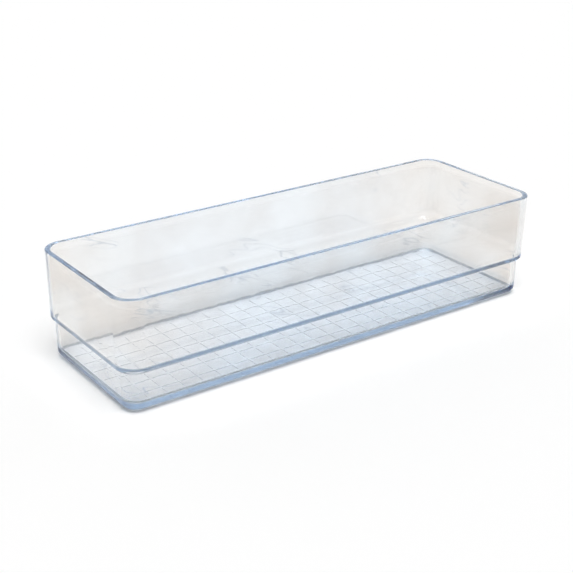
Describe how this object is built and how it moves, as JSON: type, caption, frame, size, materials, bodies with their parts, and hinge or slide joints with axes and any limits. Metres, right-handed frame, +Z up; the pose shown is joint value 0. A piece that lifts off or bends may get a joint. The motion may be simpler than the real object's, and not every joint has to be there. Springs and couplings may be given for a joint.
{
  "type": "drawer organizer tray",
  "caption": "Clear moulded drawer organizer tray: a long open box with rounded corners, a stacking step round its walls, a ribbed grid base and non-slip pads.",
  "frame": {"origin": "on the surface that the pads stand on, under the middle of the tray", "axes": "+X along the length, +Y towards the rear wall, +Z up out of the open top"},
  "size_m": [0.2286, 0.0762, 0.0518],
  "materials": {
    "tray_plastic": "clear crystal polystyrene with a faint blue tint, polished as moulded",
    "pad_silicone": "clear silicone, satin"
  },
  "bodies": {
    "root": {"tray": "tray_plastic", "front_left_pad": "pad_silicone", "front_right_pad": "pad_silicone", "rear_left_pad": "pad_silicone", "rear_right_pad": "pad_silicone"}
  },
  "joints": []
}
